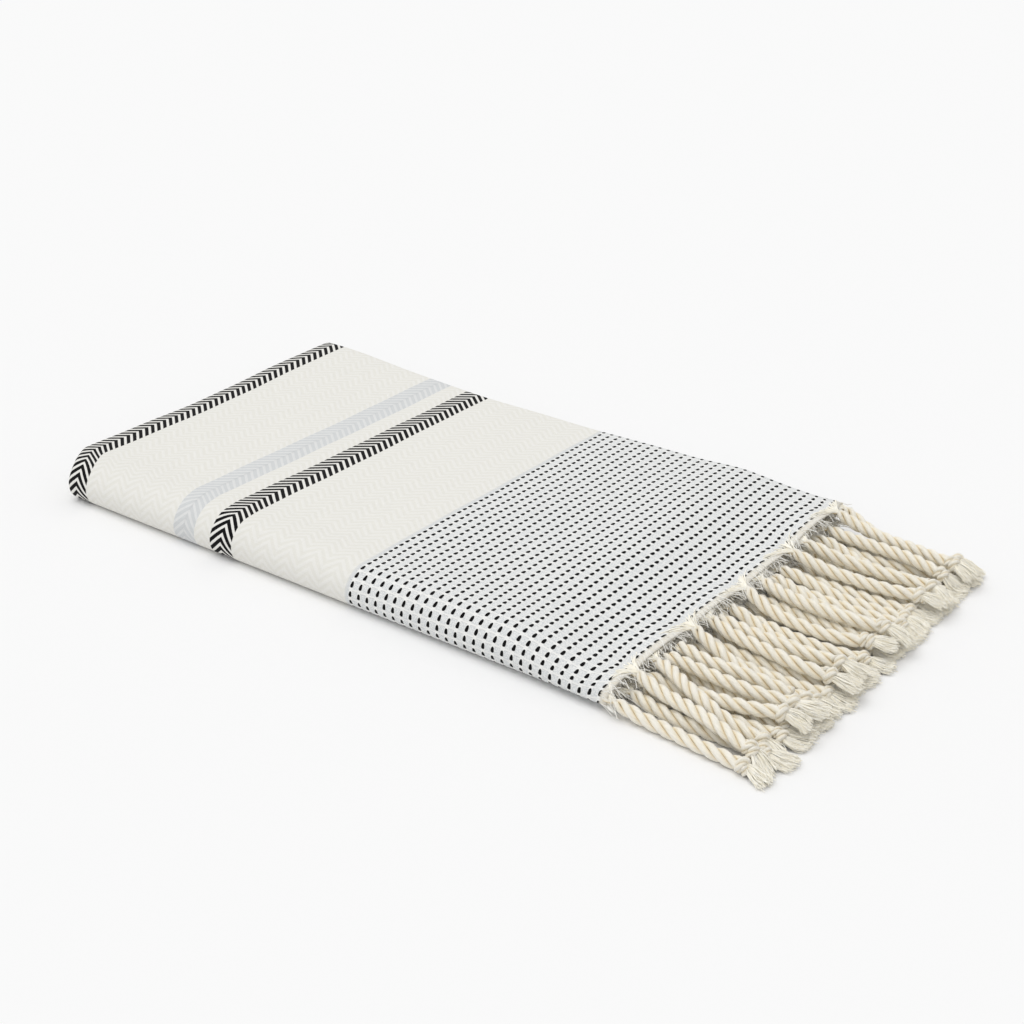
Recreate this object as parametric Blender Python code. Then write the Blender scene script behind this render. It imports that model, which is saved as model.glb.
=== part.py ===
# Hammam towel: a flat-woven cloth with a twisted-cord fringe on both ends, folded in four along its
# length and then in four across its width, lying on a surface with all of its fringe at the +X end.
#
# +X runs along the folded bundle towards the fringe, +Y to its back, +Z up. The origin is on the
# surface, in the middle of the bundle's footprint. Everything is in metres.

import math

import bmesh
import bpy
import numpy as np

# The cloth and its folds
CLOTH_THICKNESS = 0.0010
PLY_PITCH = 0.00142  # from the middle of one ply to the middle of the next
PLIES = 4  # plies in one stack, after the folds across the length
STACKS = 4  # stacks on each other, after the folds across the width
LEFT_X = -0.2045  # outside of the lengthwise folds
MIDDLE_FOLD_X = 0.1500  # the towel's middle, which stops short of its two ends
EDGE_X = 0.2050  # the towel's two fringed ends
FRONT_Y = -0.1256  # outside of the fold that wraps the whole bundle
BACK_Y = 0.1215
LOW_SELVEDGE_INSET = 0.0020  # how far short of the back each selvedge stops
HIGH_SELVEDGE_INSET = 0.0070

# How far each stack has slipped along the bundle at its left and right ends (1 is the top stack)
STACK_COLUMNS = ("stack", "left_slip", "right_slip")
STACK_SLIPS = [
    (4, 0.0040, -0.0015),
    (1, 0.0000, 0.0000),
    (2, 0.0028, -0.0020),
    (3, -0.0012, 0.0010),
]

# How the neat bundle has settled
FRINGE_END_DROP = 0.0036  # how far each of the two empty gaps closes where only the ends lie
DROP_FROM_X = 0.150
DROP_TO_X = 0.174
CORNER_LIFT = 0.22  # share of its height that the back left corner stands up
RIDGE_LIFT = 0.07  # share of its height over the middle fold
FRONT_LEAN = 0.0040  # how far the top of the front fold leans back
FRONT_FOOT = 0.0020  # how far its foot spreads forward
CORNER_SPREAD = 0.0065  # how far the back left corner spreads backwards
FRONT_TUCK = 0.0130  # how far the front left corner is drawn in

# The fringe
HEADER_WIDTH = 0.0050  # the gathered edge that the cords grow from
HEADER_GAP = 0.0003
CORD_LENGTH = 0.1000
CORD_RADIUS = 0.0040
CORE_RADIUS = 0.0034  # the solid cords, a little slimmer than the twisted ones
ROOT_RADIUS = 0.00045
ROOT_TAPER = 0.0100
CORD_POINTS = 20

# Mesh fineness
TUBE_SIDES = 6
TUBE_STATIONS = (1, 2, 3, 5, 8, 11, 15, 19)  # of a cord's points, after its root and its header's edge
STACK_STATIONS = (0.0, 0.30, 0.60, 0.84, 0.93, 1.0)  # shares of the way from the back to the front
PLY_STATIONS = (-0.12, 0.02, 0.125)
FRONT_STEPS = 7
SMALL_FOLD_STEPS = 4
PLY_FOLD_STEPS = 3

# Cords on the top two stacks: the ply each grows from (outer or inner), the stack (1 is the top),
# where it starts, and where it lies a third, two thirds and all of the way out.
CORD_COLUMNS = ("ply", "stack", "root_y", "near_y", "far_y", "tip_y")
UPPER_CORDS = [
    ("inner", 0, -0.1215, -0.135, -0.141, -0.142),
    ("outer", 1, -0.1070, -0.112, -0.125, -0.124),
    ("inner", 1, -0.0880, -0.104, -0.116, -0.112),
    ("outer", 2, -0.0970, -0.093, -0.099, -0.082),
    ("inner", 2, -0.0780, -0.081, -0.087, -0.074),
    ("inner", 2, -0.0660, -0.074, -0.070, -0.066),
    ("outer", 1, -0.0520, -0.058, -0.068, -0.055),
    ("inner", 1, -0.0360, -0.044, -0.051, -0.042),
    ("outer", 2, -0.0260, -0.033, -0.039, -0.028),
    ("inner", 2, -0.0130, -0.023, -0.028, -0.013),
    ("outer", 1, 0.0010, -0.011, -0.012, 0.006),
    ("inner", 1, 0.0180, 0.007, 0.006, 0.020),
    ("outer", 2, 0.0280, 0.026, 0.019, 0.028),
    ("inner", 2, 0.0400, 0.037, 0.035, 0.042),
    ("outer", 1, 0.0520, 0.053, 0.051, 0.060),
    ("inner", 1, 0.0670, 0.067, 0.072, 0.071),
    ("outer", 2, 0.0853, 0.080, 0.081, 0.081),
    ("inner", 2, 0.0970, 0.092, 0.091, 0.090),
    ("outer", 1, 0.1050, 0.107, 0.101, 0.098),
    ("inner", 1, 0.1150, 0.113, 0.110, 0.106),
]
# Cords on the two stacks below lie on the surface, drawn into bunches with bare surface between.
LOWER_FIRST_Y = -0.1110
LOWER_SPACING = 0.0119
LOWER_COUNT = 20
BUNCH_SPACING = 0.050
BUNCH_GAP_Y = -0.112
BUNCH_PULL = 0.0060

# How the cords are let down onto each other
SETTLE_ROUNDS = 320
CALM_FROM_ROUND = 225
CALM = 0.25
NEIGHBOUR_ROUNDS = 20  # rounds between two searches for cords that are close
NEIGHBOUR_REACH = 0.0060
FALL_STEP = 0.00018
GUIDE_PULL = 0.05
STRAIGHTENING = 0.30
PUSH_APART = 0.45
CORD_GAP = 0.0002

WHITE_COTTON = (0.84, 0.84, 0.80, 1.0)
CREAM_COTTON = (0.87, 0.80, 0.66, 1.0)

STACK_HEIGHT = PLIES * PLY_PITCH
LOWEST_MIDDLE = 0.5 * (PLIES - 1) * PLY_PITCH + 0.5 * CLOTH_THICKNESS
OUTER_PLY = 0.5 * (PLIES - 1) * PLY_PITCH  # height of the outer ply over its stack's middle
INNER_PLY = OUTER_PLY - PLY_PITCH
BUNDLE_HEIGHT = STACKS * STACK_HEIGHT - PLY_PITCH + CLOTH_THICKNESS


def clear_objects():
    for item in list(bpy.data.objects):
        bpy.data.objects.remove(item, do_unlink=True)


def smooth_step(value, start, end):
    """0 before start, 1 after end, and an even S between them."""
    share = np.clip((value - start) / (end - start), 0.0, 1.0)
    return share * share * (3.0 - 2.0 * share)


def ramp(value, start, end):
    return np.clip((value - start) / (end - start), 0.0, 1.0)


def stack_middle(stack):
    """Height of a stack's middle. Stack 1 is the top one and the last is on the surface."""
    return LOWEST_MIDDLE + (STACKS - stack) * STACK_HEIGHT


def half_turn(centre, radius, start_angle, turn, steps):
    """Points and outward unit vectors of half a circle, without its two ends."""
    angles = start_angle + turn * np.linspace(0.0, math.pi, steps + 1)[1:-1]
    outward = np.column_stack([np.cos(angles), np.sin(angles)])
    return centre + radius * outward, outward


def ply_path():
    """The cloth from one end to the other, as (x, height over the stack's middle)."""
    half_turn_radius = 0.5 * PLY_PITCH
    fold_x = LEFT_X + OUTER_PLY + 0.5 * CLOTH_THICKNESS
    drop_run = np.linspace(DROP_FROM_X, DROP_TO_X, 4)
    long_run = np.array([fold_x, *PLY_STATIONS, *drop_run, EDGE_X])
    short_run = np.array([fold_x, *PLY_STATIONS, MIDDLE_FOLD_X])
    fold_middle = np.array([fold_x, 0.0])
    outer_fold, _ = half_turn(fold_middle, OUTER_PLY, 0.5 * math.pi, 1.0, PLY_FOLD_STEPS + 1)
    inner_fold, _ = half_turn(fold_middle, half_turn_radius, 1.5 * math.pi, -1.0, PLY_FOLD_STEPS)
    middle_fold, _ = half_turn(
        np.array([MIDDLE_FOLD_X, -PLY_PITCH]), half_turn_radius, -0.5 * math.pi, 1.0, PLY_FOLD_STEPS
    )
    return np.concatenate([
        np.column_stack([long_run[::-1], np.full(len(long_run), OUTER_PLY)]),
        outer_fold,
        np.column_stack([short_run, np.full(len(short_run), -OUTER_PLY)]),
        middle_fold,
        np.column_stack([short_run[::-1], np.full(len(short_run), -INNER_PLY)]),
        inner_fold,
        np.column_stack([long_run, np.full(len(long_run), INNER_PLY)]),
    ])


def ply_outline(path, thickness):
    """The closed outline of a ribbon of this thickness along a path."""
    before = np.diff(path, axis=0, prepend=path[:1] - (path[1:2] - path[:1]))
    after = np.diff(path, axis=0, append=path[-1:] + (path[-1:] - path[-2:-1]))
    before /= np.linalg.norm(before, axis=1, keepdims=True)
    after /= np.linalg.norm(after, axis=1, keepdims=True)
    along = before + after
    along /= np.linalg.norm(along, axis=1, keepdims=True)
    widen = 1.0 / np.sum(along * after, axis=1, keepdims=True)  # mitre at each corner
    across = np.column_stack([-along[:, 1], along[:, 0]]) * widen * 0.5 * thickness
    return np.concatenate([path + across, (path - across)[::-1]])


def stack_path():
    """The folded strip from its lowest selvedge to its last: (y, z), its outer side's direction, its slips."""
    outer_reach = OUTER_PLY + 0.5 * CLOTH_THICKNESS
    front_radius = 0.5 * (stack_middle(1) - stack_middle(4))
    small_radius = 0.5 * STACK_HEIGHT
    front_y = FRONT_Y + front_radius + outer_reach
    back_y = BACK_Y - small_radius - outer_reach
    middle_z = 0.5 * (stack_middle(1) + stack_middle(4))
    slips = {stack: [left, right] for stack, left, right in STACK_SLIPS}

    def run(stack, side, inset=0.0):
        y = back_y - inset + (front_y - back_y + inset) * np.array(STACK_STATIONS)
        points = np.column_stack([y, np.full(len(y), stack_middle(stack))])
        return points, np.tile([0.0, side], (len(y), 1)), np.tile(slips[stack], (len(y), 1))

    def fold(y, middle_height, radius, start_angle, turn, steps, before, after):
        points, out = half_turn(np.array([y, middle_height]), radius, start_angle, turn, steps)
        share = np.linspace(0.0, 1.0, steps + 1)[1:-1, None]
        slip = (1.0 - share) * np.array(slips[before]) + share * np.array(slips[after])
        return points, out, slip

    half = 0.5 * math.pi
    back_z = 0.5 * (stack_middle(1) + stack_middle(2))
    front = fold(front_y, middle_z, front_radius, -half, -1.0, FRONT_STEPS, 4, 1)
    back = fold(back_y, back_z, small_radius, half, -1.0, SMALL_FOLD_STEPS, 1, 2)
    inner = fold(front_y, middle_z, small_radius, half, 1.0, SMALL_FOLD_STEPS, 2, 3)
    selvedge_reach = small_radius + outer_reach
    runs = [
        run(4, -1.0, LOW_SELVEDGE_INSET - selvedge_reach),
        front,
        tuple(part[::-1] for part in run(1, 1.0)),
        back,
        run(2, -1.0),
        (inner[0], -inner[1], inner[2]),
        tuple(part[::-1] for part in run(3, 1.0, HIGH_SELVEDGE_INSET - selvedge_reach)),
    ]
    return [np.concatenate(parts) for parts in zip(*runs)]


def settled(points):
    """The neat bundle's points, moved to where the cloth has settled."""
    x, y, z = points[..., 0], points[..., 1], points[..., 2]
    emptied = smooth_step(x, DROP_FROM_X, DROP_TO_X)
    low_gap = ramp(z, 0.5 * STACK_HEIGHT, 1.5 * STACK_HEIGHT)
    high_gap = ramp(z, 2.5 * STACK_HEIGHT, 3.5 * STACK_HEIGHT)
    new_z = z - FRINGE_END_DROP * emptied * (low_gap + high_gap)
    corner = smooth_step(-x, 0.02, 0.21) * smooth_step(y, -0.03, 0.12)
    ridge = np.exp(-(((x - 0.142) / 0.022) ** 2)) * smooth_step(y, -0.07, 0.07)
    new_z = new_z * (1.0 + CORNER_LIFT * corner + RIDGE_LIFT * ridge)
    height = new_z / BUNDLE_HEIGHT
    front = smooth_step(-y, 0.080, 0.112)
    lean = FRONT_LEAN * height**2 - FRONT_FOOT * np.clip(1.0 - height, 0.0, 1.0) ** 3
    new_y = y + lean * front + CORNER_SPREAD * smooth_step(-x, 0.05, 0.20) * smooth_step(y, 0.05, 0.12)
    new_x = x + FRONT_TUCK * front * smooth_step(-x, -0.02, 0.22)
    return np.stack([new_x, new_y, new_z], axis=-1)


def slipped(x, left_slip, right_slip):
    """Positions along the bundle, moved by the slips of its two ends."""
    share = (x - LEFT_X) / (EDGE_X - LEFT_X)
    return x + (1.0 - share) * left_slip + share * right_slip


def carried(outline, path, outward, slips):
    """A grid of points: the outline at each station of the stack's path."""
    x = slipped(outline[None, :, 0], slips[:, :1], slips[:, 1:])
    yz = path[:, None, :] + outline[None, :, 1, None] * outward[:, None, :]
    return settled(np.concatenate([x[..., None], yz], axis=-1))


def cap_quads(count):
    """Quads between the two sides of a ribbon's outline."""
    half = count // 2
    return [(i, i + 1, count - 2 - i, count - 1 - i) for i in range(half - 1)]


def sweep_mesh(mesh, grid):
    """Adds the closed solid of an outline's grid of points to a bmesh."""
    stations, count = grid.shape[:2]
    rows = [[mesh.verts.new(point) for point in row] for row in grid]
    for first, second in zip(rows[:-1], rows[1:]):
        for i in range(count):
            j = (i + 1) % count
            mesh.faces.new((first[i], first[j], second[j], second[i]))
    for quad in cap_quads(count):
        mesh.faces.new([rows[0][i] for i in reversed(quad)])
        mesh.faces.new([rows[-1][i] for i in quad])


def tube_mesh(mesh, points, radii):
    """Adds a closed tube of changing radius along some points to a bmesh."""
    along = np.gradient(points, axis=0)
    along /= np.linalg.norm(along, axis=1, keepdims=True)
    side = np.cross(along, [0.0, 0.0, 1.0])
    side /= np.linalg.norm(side, axis=1, keepdims=True)
    up = np.cross(side, along)
    angles = np.linspace(0.0, 2.0 * math.pi, TUBE_SIDES, endpoint=False)
    ring = np.cos(angles)[None, :, None] * side[:, None, :] + np.sin(angles)[None, :, None] * up[:, None, :]
    grid = points[:, None, :] + radii[:, None, None] * ring
    rows = [[mesh.verts.new(point) for point in row] for row in grid]
    for first, second in zip(rows[:-1], rows[1:]):
        for i in range(TUBE_SIDES):
            j = (i + 1) % TUBE_SIDES
            mesh.faces.new((first[i], first[j], second[j], second[i]))
    mesh.faces.new(rows[0][::-1])
    mesh.faces.new(rows[-1])


def object_from(name, mesh, material):
    bmesh.ops.recalc_face_normals(mesh, faces=mesh.faces)
    data = bpy.data.meshes.new(name)
    mesh.to_mesh(data)
    mesh.free()
    if material:
        data.materials.append(material)
    item = bpy.data.objects.new(name, data)
    bpy.context.scene.collection.objects.link(item)
    return item


def cotton(name, colour, roughness):
    material = bpy.data.materials.new(name)
    material.use_nodes = True
    shader = material.node_tree.nodes["Principled BSDF"]
    shader.inputs["Base Color"].default_value = colour
    shader.inputs["Roughness"].default_value = roughness
    shader.inputs["Metallic"].default_value = 0.0
    return material


def root_point(ply, stack, y):
    """A cord's start, in the middle of its ply's header."""
    height = OUTER_PLY if ply == "outer" else INNER_PLY
    right_slips = {number: right for number, _, right in STACK_SLIPS}
    header_x = EDGE_X + HEADER_GAP + 0.5 * HEADER_WIDTH
    if stack == 0:  # half way round the front fold
        header_x += 0.5 * (right_slips[1] + right_slips[4])
        front_radius = 0.5 * (stack_middle(1) - stack_middle(4))
        middle = FRONT_Y + front_radius + OUTER_PLY + 0.5 * CLOTH_THICKNESS
        middle_z = 0.5 * (stack_middle(1) + stack_middle(4))
        return settled(np.array([header_x, middle - front_radius - height, middle_z]))
    side = -1.0 if stack % 2 == 0 else 1.0
    header_x += right_slips[stack]
    return settled(np.array([header_x, y, stack_middle(stack) + side * height]))


def lower_cords():
    """Rows like the upper cords' for the two stacks below."""
    rows = []
    for i in range(LOWER_COUNT):
        y = LOWER_FIRST_Y + i * LOWER_SPACING
        pull = BUNCH_PULL * math.sin(2.0 * math.pi * (y - BUNCH_GAP_Y) / BUNCH_SPACING)
        ply = "outer" if i % 2 == 0 else "inner"
        rows.append((ply, 3 + (i // 2) % 2, y, y + 0.6 * pull - 0.004, y + pull - 0.006, y + pull))
    return rows


def cord_guides(rows):
    """Each cord's points on plan before it is let down, from its row of the table."""
    points = np.zeros((len(rows), CORD_POINTS, 3))
    share = np.linspace(0.0, 1.0, CORD_POINTS)
    for cord, row in enumerate(rows):
        named = dict(zip(CORD_COLUMNS, row))
        start = root_point(named["ply"], named["stack"], named["root_y"])
        stations = [start[1], named["near_y"], named["far_y"], named["tip_y"]]
        eased = np.interp(share, [0.0, 0.33, 0.66, 1.0], stations)
        eased[1:-1] = 0.25 * eased[:-2] + 0.5 * eased[1:-1] + 0.25 * eased[2:]
        points[cord, :, 0] = start[0] + share * CORD_LENGTH
        points[cord, :, 1] = eased
        points[cord, :, 2] = start[2] + 0.010 * np.minimum(share * 8.0, 1.0) * (named["stack"] < 3)
        points[cord, :2, 1:] = start[1:]
    points[:, 1, 2] = np.maximum(points[:, 1, 2], cord_radii(CORD_RADIUS)[1])
    return points


def cord_radii(full):
    """A cord's radius at each of its points: slim in its header and full after the taper."""
    reach = np.linspace(0.0, CORD_LENGTH, CORD_POINTS)
    return ROOT_RADIUS + (full - ROOT_RADIUS) * smooth_step(reach, 0.5 * HEADER_WIDTH, ROOT_TAPER)


def close_pairs(place, radii):
    """Pairs of points of different cords that are near enough to touch soon, as two index lists."""
    count, points, _ = place.shape
    flat = place.reshape(-1, 3)
    first, second = np.triu_indices(count * points, k=points)
    apart = np.abs(flat[first] - flat[second]).max(axis=1)
    near = apart < radii[first] + radii[second] + NEIGHBOUR_REACH
    near &= first // points != second // points
    return first[near], second[near]


def push_apart(place, radii, first, second):
    """Moves each pair of touching points away from each other, half of the overlap each."""
    flat = place.reshape(-1, 3)
    apart = flat[first] - flat[second]
    gap = np.linalg.norm(apart, axis=1) + 1e-9
    press = np.maximum(radii[first] + radii[second] + CORD_GAP - gap, 0.0)
    push = PUSH_APART * apart * (press / gap)[:, None]
    for axis in range(3):
        moved = np.bincount(first, push[:, axis], len(flat)) - np.bincount(second, push[:, axis], len(flat))
        flat[:, axis] += moved
    return flat.reshape(place.shape)


def let_down(guides):
    """Lets the cords fall onto the surface and each other, keeping their length and their distance."""
    count, points, _ = guides.shape
    place = guides.copy()
    radii = np.tile(cord_radii(CORD_RADIUS), count)
    floor = radii.reshape(count, points)[:, 2:]
    step = CORD_LENGTH / (points - 1)
    for turn in range(SETTLE_ROUNDS):
        if turn % NEIGHBOUR_ROUNDS == 0:
            first, second = close_pairs(place, radii)
        calm = 1.0 if turn < CALM_FROM_ROUND else CALM
        place[:, 2:, :2] += GUIDE_PULL * calm * (guides[:, 2:, :2] - place[:, 2:, :2])
        place[:, 2:, 2] -= FALL_STEP * calm
        middle = 0.5 * (place[:, :-2] + place[:, 2:])
        place[:, 1:-1] += STRAIGHTENING * (middle - place[:, 1:-1])
        for _ in range(2):
            place = push_apart(place, radii, first, second)
            place[:, :2] = guides[:, :2]
            place[:, 2:, 2] = np.maximum(place[:, 2:, 2], floor)
        for j in range(2, points):
            leg = place[:, j] - place[:, j - 1]
            place[:, j] = place[:, j - 1] + step * leg / np.linalg.norm(leg, axis=1, keepdims=True)
        place[:, 2:, 2] = np.maximum(place[:, 2:, 2], floor)
    return place


def build_cloth(material):
    mesh = bmesh.new()
    sweep_mesh(mesh, carried(ply_outline(ply_path(), CLOTH_THICKNESS), *stack_path()))
    return object_from("towel_cloth", mesh, material)


def build_comb(name, height, routes, material):
    """One end's fringe: a header along the folded edge, with its cords as teeth."""
    start = EDGE_X + HEADER_GAP
    strip = np.array([[start, height], [start + HEADER_WIDTH, height]])
    header = bmesh.new()
    sweep_mesh(header, carried(ply_outline(strip, CLOTH_THICKNESS), *stack_path()))
    comb = object_from(name, header, material)
    teeth = bmesh.new()
    kept = list(TUBE_STATIONS)
    radii = np.r_[ROOT_RADIUS, ROOT_RADIUS, cord_radii(CORE_RADIUS)[kept]]
    edge_share = 0.5 * HEADER_WIDTH * (CORD_POINTS - 1) / CORD_LENGTH
    for route in routes:
        edge = (1.0 - edge_share) * route[:1] + edge_share * route[1:2]
        tube_mesh(teeth, np.concatenate([route[:1], edge, route[kept]]), radii)
    cutter = object_from(name + "_teeth", teeth, None)
    cutter.hide_render = True
    cutter.display_type = "WIRE"
    union = comb.modifiers.new("teeth", "BOOLEAN")
    union.operation = "UNION"
    union.solver = "EXACT"
    union.object = cutter
    return comb


def main():
    clear_objects()
    white = cotton("white_cotton", WHITE_COTTON, 0.85)
    cream = cotton("cream_cotton", CREAM_COTTON, 0.90)
    build_cloth(white)
    rows = UPPER_CORDS + lower_cords()
    routes = let_down(cord_guides(rows))
    outer_end = [route for route, row in zip(routes, rows) if row[0] == "outer"]
    inner_end = [route for route, row in zip(routes, rows) if row[0] == "inner"]
    build_comb("fringe_outer_end", OUTER_PLY, outer_end, cream)
    build_comb("fringe_inner_end", INNER_PLY, inner_end, cotton("cream_cotton_inner", CREAM_COTTON, 0.90))


main()
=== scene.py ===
import math

import bpy
import numpy as np
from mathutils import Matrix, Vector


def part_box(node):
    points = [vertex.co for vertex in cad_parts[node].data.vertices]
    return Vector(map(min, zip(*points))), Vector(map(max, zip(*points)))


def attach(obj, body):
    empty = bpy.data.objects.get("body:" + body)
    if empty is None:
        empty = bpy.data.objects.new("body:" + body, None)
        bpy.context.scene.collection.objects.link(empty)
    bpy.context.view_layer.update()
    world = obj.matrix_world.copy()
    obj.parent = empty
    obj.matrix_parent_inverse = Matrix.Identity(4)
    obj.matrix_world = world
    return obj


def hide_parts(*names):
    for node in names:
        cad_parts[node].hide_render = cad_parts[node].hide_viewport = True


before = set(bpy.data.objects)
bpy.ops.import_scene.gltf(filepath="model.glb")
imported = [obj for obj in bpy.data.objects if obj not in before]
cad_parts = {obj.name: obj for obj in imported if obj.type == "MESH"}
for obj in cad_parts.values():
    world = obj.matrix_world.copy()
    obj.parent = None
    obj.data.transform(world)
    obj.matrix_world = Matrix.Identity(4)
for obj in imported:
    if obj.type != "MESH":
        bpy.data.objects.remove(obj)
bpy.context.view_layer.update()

# A flat-woven hammam towel, folded in four along its length and then in four across its width.
# +X runs along the bundle to the fringe, +Y to its back, +Z up. All lengths are in metres.

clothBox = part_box("towel_cloth")
print("frame loaded, cloth node", [round(float(v), 4) for corner in clothBox for v in corner])

fold = {
    "thickness": 0.0010,
    "pitch": 0.00142,           # middle of one ply to the middle of the next
    "plies": 4,                 # in one stack
    "stacks": 4,                # stacks on each other, 1 is the top one
    "leftX": -0.2045,           # outside of the lengthwise folds
    "middleFoldX": 0.1500,      # the towel's middle, short of its two ends
    "edgeX": 0.2050,            # where the cloth turns into its gathered header
    "headerWidth": 0.0053,
    "edgeThin": 0.30,           # thickness left at the cut ends, as a share
    "edgeReach": 0.006,
    "frontY": -0.1256,          # outside of the fold that wraps the bundle
    "backY": 0.1215,
    "lowSelvedgeInset": 0.0020,
    "highSelvedgeInset": 0.0070,
    "slips": {4: (0.0040, -0.0015), 1: (0.0, 0.0), 2: (0.0028, -0.0020), 3: (-0.0012, 0.0010)},
}
settle = {
    "fringeEndDrop": 0.0036,    # how far each of the two empty gaps closes where only the ends lie
    "dropFromX": 0.138,
    "dropToX": 0.200,
    "backProp": 0.75,           # share of that drop which the folds at the back hold up
    "cornerLift": 0.22,         # share of its height that the back left corner stands up
    "ridgeLift": 0.07,          # share of its height over the middle fold
    "frontLean": 0.0040,
    "frontFoot": 0.0020,
    "cornerSpread": 0.0065,
    "frontTuck": 0.0130,
    "unevenness": 0.00022,      # height of the long soft waves in the cloth
}
gather = {
    "reach": 0.044,             # how far up the cloth the roots of the cords draw it
    "peak": 0.0022,             # how far a root draws the edge out
    "valley": 0.0008,           # how far the edge falls back between two roots
    "pull": 0.0036,             # how far the edge creeps sideways towards a root
    "pullReach": 0.020,
    "lift": 0.0007,             # how high the edge arches between two roots
}

stackHeight = fold["plies"] * fold["pitch"]
outerPly = 0.5 * (fold["plies"] - 1) * fold["pitch"]
innerPly = outerPly - fold["pitch"]
lowestMiddle = outerPly + 0.5 * fold["thickness"]
bundleHeight = fold["stacks"] * stackHeight - fold["pitch"] + fold["thickness"]
cutX = fold["edgeX"] + fold["headerWidth"]


# 0 before start, 1 after end, and 3s^2 - 2s^3 of the share s in between
def smoothStep(value, start, end):
    share = np.clip((value - start) / (end - start), 0.0, 1.0)
    return share * share * (3.0 - 2.0 * share)


# the share of the way from start to end, held at 0 and 1
def ramp(value, start, end):
    return np.clip((value - start) / (end - start), 0.0, 1.0)


# evenly spaced values from start to end, about one step apart
def spaced(start, end, step):
    return np.linspace(start, end, max(1, round(abs(end - start) / step)) + 1)


# height of a stack's middle over the surface: the lowest one's plus a stack height for each below it
def stackMiddle(stack):
    return lowestMiddle + (fold["stacks"] - stack) * stackHeight


# half a circle without its ends: centre + radius (cos a, sin a), a from startAngle over half a turn
def halfTurn(centre, radius, startAngle, turn, steps):
    angles = startAngle + turn * np.linspace(0.0, math.pi, steps + 1)[1:-1]
    outward = np.column_stack([np.cos(angles), np.sin(angles)])
    return np.array(centre) + radius * outward, outward


# the cloth from one cut end to the other as (x, height over its stack's middle): out to the left
# fold on the outer ply, back on the ply below, round the middle fold and out and back again
def plyPath():
    foldX = fold["leftX"] + outerPly + 0.5 * fold["thickness"]
    thinEnd = cutX - fold["edgeReach"]
    edgeRun = spaced(cutX, thinEnd, 0.0015)
    shownRun = np.concatenate([
        edgeRun, spaced(thinEnd, 0.165, 0.0026)[1:], spaced(0.165, 0.145, 0.0033)[1:],
        spaced(0.145, foldX, 0.006)[1:],
    ])
    hiddenRun = np.concatenate([
        edgeRun, spaced(thinEnd, 0.165, 0.0033)[1:], spaced(0.165, 0.145, 0.005)[1:],
        spaced(0.145, foldX, 0.018)[1:],
    ])
    shortRun = np.concatenate([spaced(foldX, 0.13, 0.018), spaced(0.13, fold["middleFoldX"], 0.005)[1:]])
    half, small = 0.5 * math.pi, 0.5 * fold["pitch"]
    outerFold = halfTurn((foldX, 0.0), outerPly, half, 1.0, 9)[0]
    middleFold = halfTurn((fold["middleFoldX"], -fold["pitch"]), small, -half, 1.0, 6)[0]
    innerFold = halfTurn((foldX, 0.0), small, 3.0 * half, -1.0, 6)[0]
    return np.concatenate([
        np.column_stack([shownRun, np.full(len(shownRun), outerPly)]),
        outerFold,
        np.column_stack([shortRun, np.full(len(shortRun), -outerPly)]),
        middleFold,
        np.column_stack([shortRun[::-1], np.full(len(shortRun), -innerPly)]),
        innerFold,
        np.column_stack([hiddenRun[::-1], np.full(len(hiddenRun), innerPly)]),
    ])


# running length along a polyline: the sum of its legs up to each point
def runningLength(points):
    legs = np.linalg.norm(np.diff(points, axis=0), axis=1)
    return np.concatenate([[0.0], np.cumsum(legs)])


# both faces of a ribbon along a path: the path moved half a thickness each way, mitred at corners
def ribbonFaces(path, thickness):
    before = np.diff(path, axis=0, prepend=path[:1] - (path[1:2] - path[:1]))
    after = np.diff(path, axis=0, append=path[-1:] + (path[-1:] - path[-2:-1]))
    before /= np.linalg.norm(before, axis=1, keepdims=True)
    after /= np.linalg.norm(after, axis=1, keepdims=True)
    along = before + after
    along /= np.linalg.norm(along, axis=1, keepdims=True)
    widen = 1.0 / np.sum(along * after, axis=1, keepdims=True)
    across = np.column_stack([-along[:, 1], along[:, 0]]) * widen * 0.5 * thickness
    return path + across, path - across


# the folded strip from its lowest selvedge to its last: a table of the running length w with
# (y, z), the outer side's direction (y, z) and the slips of the left and right ends
def stackPath():
    reach = outerPly + 0.5 * fold["thickness"]
    frontRadius = 0.5 * (stackMiddle(1) - stackMiddle(4))
    smallRadius = 0.5 * stackHeight
    frontY = fold["frontY"] + frontRadius + reach
    backY = fold["backY"] - smallRadius - reach
    selvedge = smallRadius + reach
    middleZ = 0.5 * (stackMiddle(1) + stackMiddle(4))
    backZ = 0.5 * (stackMiddle(1) + stackMiddle(2))
    slips = fold["slips"]

    def run(stack, fromY, toY, side, step):
        y = spaced(fromY, toY, step)
        rest = np.tile([stackMiddle(stack), 0.0, side, *slips[stack]], (len(y), 1))
        return np.column_stack([y, rest])

    def turn(y, z, radius, startAngle, way, steps, before, after, flip=1.0):
        points, out = halfTurn((y, z), radius, startAngle, way, steps)
        share = np.linspace(0.0, 1.0, steps + 1)[1:-1, None]
        slip = (1.0 - share) * np.array(slips[before]) + share * np.array(slips[after])
        return np.column_stack([points, flip * out, slip])

    half = 0.5 * math.pi
    table = np.concatenate([
        run(4, backY + selvedge - fold["lowSelvedgeInset"], frontY, -1.0, 0.006),
        turn(frontY, middleZ, frontRadius, -half, -1.0, 26, 4, 1),
        run(1, frontY, backY, 1.0, 0.0035),
        turn(backY, backZ, smallRadius, half, -1.0, 9, 1, 2),
        run(2, backY, frontY, -1.0, 0.006),
        turn(frontY, middleZ, smallRadius, half, 1.0, 9, 2, 3, -1.0),
        run(3, frontY, backY + selvedge - fold["highSelvedgeInset"], 1.0, 0.006),
    ])
    return np.column_stack([runningLength(table[:, :2]), table])


stackTable = stackPath()


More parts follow.
